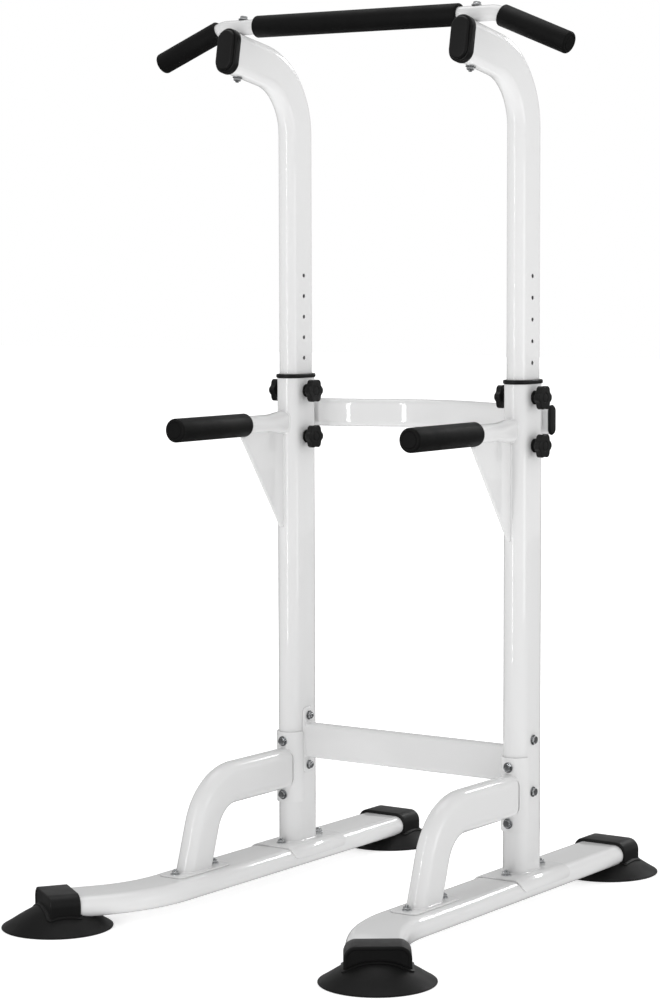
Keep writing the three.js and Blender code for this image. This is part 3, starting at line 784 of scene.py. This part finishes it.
open_sizes = (bar_centre - X * (CENTRE_GRIP_HALF * MM), X, Y, 2 * CENTRE_GRIP_HALF, CENTRE_GRIP,
              BAR_TUBE)
grip_piece("centre_foam", open_sleeve, "upper_frame", "centre_grip", *open_sizes)
for hand, side in SIDES:
    droop = Vector((side * math.cos(DROP), 0, -math.sin(DROP)))
    start = bar_half(side)[-1] + droop * ((7 + GAP - END_GRIP_LENGTH) * MM)
    grip_piece(f"{hand}_bar_foam", closed_sleeve, "upper_frame", f"{hand}_end_grip", start, droop,
               Y, END_GRIP_LENGTH, END_GRIP, BAR_TUBE)
    grip_piece(f"{hand}_dip_foam", closed_sleeve, "stand", f"{hand}_dip_grip",
               at(side * HALF, DIP_GRIP_START, DIP_Z), -Y, Z, DIP_GRIP_START - DIP_GRIP_END,
               DIP_GRIP, DIP_TUBE)

# %% [markdown]
# ## Star knobs
# Eight six-lobed knobs clamp the upper posts. A lobed outline is a circle whose radius
# follows a cosine; a stack of such outlines with rounded rims makes the head.

# %% Star knobs
KNOB_STEPS = 120


def star(inset=0.0, count=KNOB_STEPS):
    points = []
    for i in range(count):
        t = 2 * math.pi * i / count
        valley = ((1 + math.cos(6 * t)) / 2) ** 1.3
        r = KNOB_RADIUS - 4.4 * valley - inset
        points.append((r * math.cos(t), r * math.sin(t)))
    return points


def knob_layers():
    seat, back, front = LOWER_WIDE / 2 + GAP, KNOB_FACE - KNOB_THICK, KNOB_FACE
    neck = [(seat, circle(KNOB_NECK - 2, KNOB_STEPS)), (seat, circle(KNOB_NECK, KNOB_STEPS)),
            (seat + 1, circle(KNOB_NECK + 1, KNOB_STEPS)), (seat + 4, circle(KNOB_NECK + 1, KNOB_STEPS)),
            (seat + 5, circle(KNOB_NECK - 1, KNOB_STEPS)), (back - 2, circle(KNOB_NECK - 1, KNOB_STEPS)),
            (back, circle(KNOB_NECK + 2, KNOB_STEPS))]
    head = edge_layers(back, front, 1.7, star, 5)
    face = [(front - 0.1, circle(11, KNOB_STEPS)), (front - 1.1, circle(10, KNOB_STEPS)),
            (front - 1.1, circle(9.4, KNOB_STEPS)), (front - 0.3, circle(9, KNOB_STEPS)),
            (front, circle(6, KNOB_STEPS))]
    return neck + head + face


for hand, side in SIDES:
    for place, way in (("outer", side), ("inner", -side)):
        for number, z in enumerate(KNOB_Z, 1):
            name = f"{hand}_{place}_knob_{number}"
            bm = bmesh.new()
            stack(bm, at(side * HALF, 0, z), X * way, Z, knob_layers())
            stack(bm, at(side * HALF, 0, z), X * way, Z,
                  [(UPPER_WIDE / 2 + GAP, circle(4, 24)), (LOWER_WIDE / 2 + 1, circle(4, 24))])
            make_piece(f"{name}_head", bm, "black_plastic", name, [name])

# %% [markdown]
# ## Bolts and nuts
# All fasteners are one head or one nut placed many times, so Geometry Nodes place them: each
# point of a small mesh carries the way its fastener faces, and the tree turns a copy to it.

# %% One head and one nut
TURNED = 72
WASHER_THICK, HEX_LOW, HEX_HIGH = 1.9, 1.8, 7.6
DIMPLE_FLOOR, DIMPLE_RADIUS = 7.2, 5.6


def hexagon(radius, count=TURNED):
    points = []
    for i in range(count):
        t = 2 * math.pi * i / count
        from_flat = (t % (math.pi / 3)) - math.pi / 6
        r = radius * math.cos(math.pi / 6) / math.cos(from_flat)
        points.append((r * math.cos(t), r * math.sin(t)))
    return points


def clipped(outline, radius):
    """Keeps an outline inside a circle, as the turned chamfer of a hexagon does."""
    kept = []
    for a, b in outline:
        far = math.hypot(a, b)
        kept.append((a, b) if far <= radius else (a * radius / far, b * radius / far))
    return kept


def washer_layers(radius, thick):
    return [(0, circle(radius - 0.4, TURNED)), (0.4, circle(radius, TURNED)),
            (thick - 0.4, circle(radius, TURNED)), (thick, circle(radius - 0.4, TURNED))]


def hex_layers(low, high, radius):
    hexed = hexagon(radius)
    return [(low, clipped(hexed, radius - 1.0)), (low + 0.5, hexed), (high - 0.9, hexed),
            (high - 0.45, clipped(hexed, radius - 0.45)), (high, clipped(hexed, radius - 1.1))]


def thread_layers(low, high, radius, pitch=1.25):
    """Grooves round a bolt's end, one for each turn of its thread."""
    turns = int((high - low) / pitch)
    layers = [(low, circle(radius, TURNED))]
    for i in range(turns):
        layers += [(low + (i + 0.35) * pitch, circle(radius, TURNED)),
                   (low + (i + 0.75) * pitch, circle(radius - 0.55, TURNED))]
    return layers + [(high - 0.5, circle(radius, TURNED)), (high, circle(radius - 0.6, TURNED))]


def template(name, parts):
    bm = bmesh.new()
    for layers in parts:
        stack(bm, Vector(), Z, X, layers)
    shape = linked(name, mesh_of(name, bm))
    for face in shape.data.polygons:
        face.use_smooth = True
    shape.data.set_sharp_from_angle(angle=math.radians(25))
    return shape


dimple = [(DIMPLE_FLOOR, circle(DIMPLE_RADIUS, TURNED)), (DIMPLE_FLOOR, circle(0, TURNED))]
head_shape = template("head", [washer_layers(11, WASHER_THICK),
                               hex_layers(HEX_LOW, HEX_HIGH, 8.6) + dimple])
nut_shape = template("nut", [washer_layers(10.5, WASHER_THICK), hex_layers(HEX_LOW, HEX_HIGH, 8.2),
                             thread_layers(5, 11, 4)])
print(f"head: {len(head_shape.data.polygons)} faces, nut: {len(nut_shape.data.polygons)} faces")

# %% [markdown]
# The tree below puts copies on points, turns each one's axis along the point's "facing"
# value, gives each a seeded spin, and hands back a plain mesh with the zinc finish.

# %% Place the fasteners
def new_tree(name, geometry, *sizes):
    """A tree that takes one geometry and some named sizes, and gives one result."""
    tree = bpy.data.node_groups.new(name, "GeometryNodeTree")
    tree.interface.new_socket(geometry, in_out="INPUT", socket_type="NodeSocketGeometry")
    for size in sizes:
        tree.interface.new_socket(size, in_out="INPUT", socket_type="NodeSocketFloat")
    tree.interface.new_socket("Result", in_out="OUTPUT", socket_type="NodeSocketGeometry")
    return tree


def end_tree(tree, made, finish):
    """Makes the copies real, gives them their finish and hands them to the tree's result."""
    add, join = tree.nodes.new, tree.links.new
    real, paint = add("GeometryNodeRealizeInstances"), add("GeometryNodeSetMaterial")
    paint.inputs["Material"].default_value = FINISHES[finish]
    join(made, real.inputs["Geometry"])
    join(real.outputs["Geometry"], paint.inputs["Geometry"])
    join(paint.outputs["Geometry"], add("NodeGroupOutput").inputs["Result"])


def run_tree(piece, tree, **sizes):
    """Puts a tree on a piece; each size is set by its socket's identifier."""
    modifier = piece.modifiers.new("tree", "NODES")
    modifier.node_group = tree
    sockets = {socket.name: socket.identifier for socket in tree.interface.items_tree}
    for name, value in sizes.items():
        modifier[sockets[name]] = value


def fastener_tree(shape):
    tree = new_tree("place_fasteners", "Points", "Size")
    add, join = tree.nodes.new, tree.links.new
    inputs, source = add("NodeGroupInput"), add("GeometryNodeObjectInfo")
    source.inputs["Object"].default_value = shape
    facing = add("GeometryNodeInputNamedAttribute")
    facing.data_type = "FLOAT_VECTOR"
    facing.inputs["Name"].default_value = "facing"
    turn = add("FunctionNodeAlignEulerToVector")
    turn.axis = "Z"
    spin = add("FunctionNodeRandomValue")
    spin.data_type = "FLOAT_VECTOR"
    spin.inputs[0].default_value = (0, 0, 0)
    spin.inputs[1].default_value = (0, 0, math.pi / 3)
    spin.inputs["Seed"].default_value = 7
    spun = add("FunctionNodeRotateEuler")
    spun.rotation_type = "EULER"
    spun.space = "LOCAL"
    place = add("GeometryNodeInstanceOnPoints")
    join(facing.outputs["Attribute"], turn.inputs["Vector"])
    join(turn.outputs["Rotation"], spun.inputs["Rotation"])
    join(spin.outputs["Value"], spun.inputs["Rotate By"])
    join(inputs.outputs["Points"], place.inputs["Points"])
    join(source.outputs["Geometry"], place.inputs["Instance"])
    join(spun.outputs["Rotation"], place.inputs["Rotation"])
    join(inputs.outputs["Size"], place.inputs["Scale"])
    end_tree(tree, place.outputs["Instances"], "zinc_steel")
    return tree


def place_fasteners(name, shape, seats, body, stands_for=()):
    mesh = bpy.data.meshes.new(name)
    mesh.from_pydata([tuple(point) for point, way in seats], [], [])
    facing = mesh.attributes.new("facing", "FLOAT_VECTOR", "POINT")
    for i, (point, way) in enumerate(seats):
        facing.data[i].vector = way
    holder = linked(name, mesh)
    run_tree(holder, fastener_tree(shape), Size=1.0)
    finish_piece(holder, "zinc_steel", body, stands_for)


heads, head_nodes, nuts, nut_nodes = [], [], [], []
for hand, side in SIDES:
    front = -LOWER_DEEP / 2 - GAP - BRACKET_THICK
    heads += [(at(side * HALF, front, z), -Y) for z in BRACE_BOLT_Z]
    head_nodes += [f"{hand}_brace_bolt_{i}" for i in (1, 2)]
    heads += [(at(side * (HALF + LOWER_WIDE / 2), 0, z), X * side) for z in LOW_BAR_BOLT_Z]
    head_nodes += [f"{hand}_crossbar_bolt_{i}" for i in (1, 2)]
    inner = HALF - LOWER_WIDE / 2 - GAP - FLANGE_THICK
    nuts += [(at(side * inner, 0, z), X * -side) for z in LOW_BAR_BOLT_Z]
    back = BACK_BAR_Y + BACK_BAR_DEEP / 2
    heads += [(at(side * HALF, back, BACK_BAR_Z), Y)]
    plates = (BRACE_PLATE_THICK, BRACE_PLATE_THICK, SADDLE_THICK, SADDLE_THICK)
    nuts += [(at(side * HALF, y, RUNNER_TOP + GAP + t), Z) for y, t in zip(FOOT_BOLT_Y, plates)]
    nut_nodes += [f"{hand}_foot_bolt_{i}" for i in (1, 2, 3, 4)]
place_fasteners("frame_bolt_heads", head_shape, heads, "stand", head_nodes)
place_fasteners("frame_nuts", nut_shape, nuts, "stand", nut_nodes)

above = UPPER_DEEP / 2 + BAR_TUBE + GAP
over_bar = [(arm_point(side, BAR_ALONG, above), UP) for hand, side in SIDES]
under_arm = [(arm_point(side, BAR_ALONG, -UPPER_DEEP / 2), -UP) for hand, side in SIDES]
place_fasteners("bar_bolt_heads", head_shape, over_bar, "upper_frame",
                ["left_bar_bolt", "right_bar_bolt"])
place_fasteners("bar_nuts", nut_shape, under_arm, "upper_frame")
for shape in (head_shape, nut_shape):
    bpy.data.objects.remove(shape)

# %% [markdown]
# ## Weld beads
# Where tubes meet plates and posts there is a small painted bead. Geometry Nodes follow the
# joint line: the line becomes a curve, is evenly resampled, and a round profile whose radius
# ripples a little runs along it.

# %% Weld beads
def bead_tree():
    tree = new_tree("weld_bead", "Lines", "Radius", "Ripple")
    add, join = tree.nodes.new, tree.links.new
    inputs, curve = add("NodeGroupInput"), add("GeometryNodeMeshToCurve")
    even = add("GeometryNodeResampleCurve")
    even.mode = "LENGTH"
    even.inputs["Length"].default_value = 2.2 * MM
    noise = add("ShaderNodeTexNoise")
    noise.inputs["Scale"].default_value = 260
    spread = add("ShaderNodeMapRange")
    spread.inputs["To Min"].default_value = 1.0
    join(inputs.outputs["Ripple"], spread.inputs["To Max"])
    profile = add("GeometryNodeCurvePrimitiveCircle")
    profile.inputs["Resolution"].default_value = 10
    bead = add("GeometryNodeCurveToMesh")
    bead.inputs["Fill Caps"].default_value = True
    swell = add("GeometryNodeSetCurveRadius")
    join(inputs.outputs["Lines"], curve.inputs["Mesh"])
    join(curve.outputs["Curve"], even.inputs["Curve"])
    join(even.outputs["Curve"], swell.inputs["Curve"])
    join(noise.outputs[0], spread.inputs["Value"])
    join(spread.outputs["Result"], swell.inputs["Radius"])
    join(inputs.outputs["Radius"], profile.inputs["Radius"])
    join(swell.outputs["Curve"], bead.inputs["Curve"])
    join(profile.outputs["Curve"], bead.inputs["Profile Curve"])
    if "Scale" in bead.inputs:
        radius = add("GeometryNodeInputRadius")
        join(radius.outputs[0], bead.inputs["Scale"])
    end_tree(tree, bead.outputs["Mesh"], "white_paint")
    return tree


def weld(name, lines, body, radius=1.7):
    """lines are (points, closed) pairs."""
    points, edges = [], []
    for line, closed in lines:
        base = len(points)
        points += [tuple(p) for p in line]
        edges += [(base + i, base + i + 1) for i in range(len(line) - 1)]
        if closed:
            edges.append((base + len(line) - 1, base))
    mesh = bpy.data.meshes.new(name)
    mesh.from_pydata(points, edges, [])
    holder = linked(name, mesh)
    run_tree(holder, bead_tree(), Radius=radius * MM, Ripple=1.25)
    finish_piece(holder, "white_paint", body, ())


def on_post_front(x, radius):
    return -(LOWER_DEEP - LOWER_WIDE) / 2 - math.sqrt(radius ** 2 - x ** 2)


def once(outline, near=0.05):
    """Drops the repeated corner points of a fully rounded outline."""
    kept = []
    for point in outline:
        if not kept or math.dist(point, kept[-1]) > near:
            kept.append(point)
    return kept[:-1] if math.dist(kept[0], kept[-1]) < near else kept


def post_foot_line(side):
    """Round the foot of the post, on its saddle."""
    outline = once(rounded(LOWER_WIDE, LOWER_DEEP))
    return [at(side * HALF + a, b, RUNNER_TOP + SADDLE_THICK + GAP) for a, b in outline]


def brace_lines(side):
    """Round both ends of the brace: on its bracket, and on its foot plate."""
    section = once(rounded(UPPER_WIDE, UPPER_DEEP))
    bracket = LOWER_WIDE / 2 + GAP + BRACKET_THICK
    head = [at(side * HALF + a, on_post_front(a, bracket), BRACE_Z + b) for a, b in section]
    lean, foot = math.radians(BRACE_LEAN), brace_path(side)[-1]
    plate_top = (RUNNER_TOP + GAP + BRACE_PLATE_THICK) * MM
    shift = (plate_top - foot.z) * math.tan(lean)
    on_foot = [foot + Vector((a, b / math.cos(lean), 0)) * MM for a, b in section]
    return [head, [Vector((p.x, p.y + shift, plate_top)) for p in on_foot]]


def dip_root_line(side):
    """Round the dip arm where it meets the post."""
    outline = once(dip_outline(-50))
    return [at(side * HALF + b, on_post_front(b, LOWER_WIDE / 2), DIP_Z + a) for a, b in outline]


def flange_line(side):
    """Round the lower crossbar on its flange plate."""
    inner = side * (HALF - LOWER_WIDE / 2 - GAP - FLANGE_THICK)
    return [at(inner, b, LOW_BAR_Z + a) for a, b in once(rounded(LOW_BAR_HIGH, LOW_BAR_DEEP, 9))]


def gusset_lines(side):
    """Up the post and along the dip arm, on both faces of the gusset plate."""
    lines = []
    for dx in (-GUSSET_THICK / 2, GUSSET_THICK / 2):
        x = side * HALF + dx
        lines.append([at(x, -LOWER_DEEP / 2, z) for z in (GUSSET_LOW + 4, 860, 970)])
        lines.append([at(x, y, DIP_Z - DIP_TUBE / 2) for y in (-184, -150, -110)])
    return lines


for hand, side in SIDES:
    rings = [post_foot_line(side), *brace_lines(side), dip_root_line(side), flange_line(side)]
    lines = [(ring, True) for ring in rings] + [(line, False) for line in gusset_lines(side)]
    weld(f"{hand}_weld_beads", lines, "stand")

# %% [markdown]
# ## Floor, light and camera
# The object stands in a white sweep. The floor is plain and pale, with a glow of its own so
# that only soft contact shadows show on it.

# %% Floor
def choose(material, test, otherwise, chosen):
    """Mixes two shaders: chosen where the test is true."""
    mix = node(material, "ShaderNodeMixShader")
    wire(material, test, mix.inputs[0])
    wire(material, otherwise.outputs[0], mix.inputs[1])
    wire(material, chosen.outputs[0], mix.inputs[2])
    return mix


def floor_glow(material, ray, near, far, unseen):
    """A glow that grows from near to far, weaker by unseen where it only lights the scene."""
    place = node(material, "ShaderNodeTexCoord")
    reach = node(material, "ShaderNodeVectorMath", operation="LENGTH")
    glow, share = node(material, "ShaderNodeMapRange"), node(material, "ShaderNodeMapRange")
    for socket, value in (("From Min", 0.6), ("From Max", 3.0), ("To Min", near), ("To Max", far)):
        glow.inputs[socket].default_value = value
    share.inputs["To Min"].default_value = unseen
    scaled = node(material, "ShaderNodeMath", operation="MULTIPLY")
    wire(material, place.outputs["Object"], reach.inputs[0])
    wire(material, reach.outputs["Value"], glow.inputs["Value"])
    wire(material, ray.outputs["Is Camera Ray"], share.inputs["Value"])
    wire(material, share.outputs["Result"], scaled.inputs[0])
    wire(material, glow.outputs["Result"], scaled.inputs[1])
    return scaled.outputs[0]


def floor_finish():
    """White where it is seen or lights the scene, and grey where the paint mirrors it."""
    material = bpy.data.materials.new("floor")
    material.use_nodes = True
    shader = material.node_tree.nodes["Principled BSDF"]
    shader.inputs["Base Color"].default_value = (0.86, 0.86, 0.86, 1)
    shader.inputs["Roughness"].default_value = 0.9
    shader.inputs["Specular IOR Level"].default_value = 0.1
    shader.inputs["Emission Color"].default_value = (1, 1, 1, 1)
    ray = node(material, "ShaderNodeLightPath")
    wire(material, floor_glow(material, ray, 0.47, 0.80, 0.86), shader.inputs["Emission Strength"])
    grey = node(material, "ShaderNodeEmission", Strength=0.14)
    result = choose(material, ray.outputs["Is Glossy Ray"], shader, grey)
    wire(material, result.outputs[0], material.node_tree.nodes["Material Output"].inputs["Surface"])
    return material


FLOOR_SIZE, FLOOR_THICK, FLOOR_DEPTH = 60000, 30, 30.5
floor_bm = bmesh.new()
sheet = rounded(FLOOR_SIZE, FLOOR_SIZE, 100)
stack(floor_bm, Vector((0, 0, -FLOOR_DEPTH * MM)), Z, X, [(0, sheet), (FLOOR_THICK, sheet)])
floor = linked("floor", mesh_of("floor", floor_bm))
floor.data.materials.append(floor_finish())
print(f"floor made, its top {FLOOR_DEPTH - FLOOR_THICK:.1f} mm below the cups' rims")

# %% [markdown]
# White paint on a white ground needs something to reflect. The surround is pure white where
# it is seen directly, lights the scene a little more from the right, and is a darker grey where
# it is mirrored, so every tube gets the fine grey outline that glossy paint shows in a studio.

# %% Surround
def leaning_glow(world, place, lit, lean):
    """A light that is lit on average, and brighter toward the way it leans."""
    toward = node(world, "ShaderNodeVectorMath", operation="DOT_PRODUCT")
    toward.inputs[1].default_value = lean
    total = node(world, "ShaderNodeMath", operation="ADD")
    total.inputs[1].default_value = lit
    glow = node(world, "ShaderNodeBackground", Color=(1, 1, 1, 1))
    wire(world, place.outputs["Generated"], toward.inputs[0])
    wire(world, toward.outputs["Value"], total.inputs[0])
    wire(world, total.outputs[0], glow.inputs["Strength"])
    return glow


def mirrored_glow(world, place, low, high):
    """A light that goes from low at the horizon to high overhead."""
    parts, height = node(world, "ShaderNodeSeparateXYZ"), node(world, "ShaderNodeMapRange")
    for socket, value in (("From Max", 0.8), ("To Min", low), ("To Max", high)):
        height.inputs[socket].default_value = value
    glow = node(world, "ShaderNodeBackground", Color=(1, 1, 1, 1))
    wire(world, place.outputs["Generated"], parts.inputs["Vector"])
    wire(world, parts.outputs["Z"], height.inputs["Value"])
    wire(world, height.outputs["Result"], glow.inputs["Strength"])
    return glow


def surround(seen, lit, lean, mirrored_low, mirrored_high):
    world = bpy.data.worlds.new("surround")
    world.use_nodes = True
    bpy.context.scene.world = world
    world.node_tree.nodes.clear()
    place, ray = node(world, "ShaderNodeTexCoord"), node(world, "ShaderNodeLightPath")
    direct = node(world, "ShaderNodeBackground", Color=(1, 1, 1, 1), Strength=seen)
    mirrored = mirrored_glow(world, place, mirrored_low, mirrored_high)
    lighting = choose(world, ray.outputs["Is Glossy Ray"], leaning_glow(world, place, lit, lean),
                      mirrored)
    result = choose(world, ray.outputs["Is Camera Ray"], lighting, direct)
    wire(world, result.outputs[0], node(world, "ShaderNodeOutputWorld").inputs["Surface"])


surround(seen=1.0, lit=0.61, lean=(0.21, 0.05, -0.06), mirrored_low=0.54, mirrored_high=0.34)
print("surround made")

# %% [markdown]
# Four soft boxes: a tall narrow one in front draws the bright line down each upright tube, a
# small one behind draws the line along the level tubes, a broad one overhead makes the soft
# shadows, and one at the right lights the flat sides.

# %% Lights
def panel(name, place, target, wide, tall, power):
    light = bpy.data.lights.new(name, "AREA")
    light.shape = "RECTANGLE"
    light.size, light.size_y, light.energy = wide, tall, power
    holder = bpy.data.objects.new(name, light)
    bpy.context.scene.collection.objects.link(holder)
    holder.location = place
    holder.visible_camera = False
    holder.rotation_euler = (Vector(target) - Vector(place)).to_track_quat("-Z", "Y").to_euler()
    return light


streak = panel("streak", (0.05, -2.4, 1.25), (0.0, 0, 1.25), 0.12, 2.46, 13)
streak.diffuse_factor = 0.0
panel("top", (-0.5, 0.5, 4.4), (0, 0, 0.6), 2.6, 2.6, 32)
panel("right", (4.6, 1.0, 0.9), (0, 0, 0.5), 1.6, 1.6, 15)
rim = panel("rim", (0.45, 4.4, 3.2), (0, 0, 0.7), 1.8, 0.5, 30)
rim.diffuse_factor = 0.05
print("four soft boxes made")

# %% [markdown]
# The camera stands at the user's front right, a little above the middle of the frame, with a
# long lens so that the two posts stay nearly the same size.

# %% Camera
camera_data = bpy.data.cameras.new("camera")
camera_data.sensor_width = 36
camera_data.lens = 97.725
camera_data.shift_x, camera_data.shift_y = -0.0886, 0.0068
camera = bpy.data.objects.new("camera", camera_data)
bpy.context.scene.collection.objects.link(camera)
azimuth, elevation = math.radians(33.29), math.radians(5.04)
back = Vector((math.sin(azimuth) * math.cos(elevation), -math.cos(azimuth) * math.cos(elevation),
               math.sin(elevation)))
camera.location = (3.1967, -4.6578, 1.3341)
camera.rotation_euler = back.to_track_quat("Z", "Y").to_euler()
bpy.context.scene.camera = camera
bpy.context.scene.view_settings.view_transform = "Standard"
print(f"camera {camera.location.length:.2f} m from the middle of the footprint")
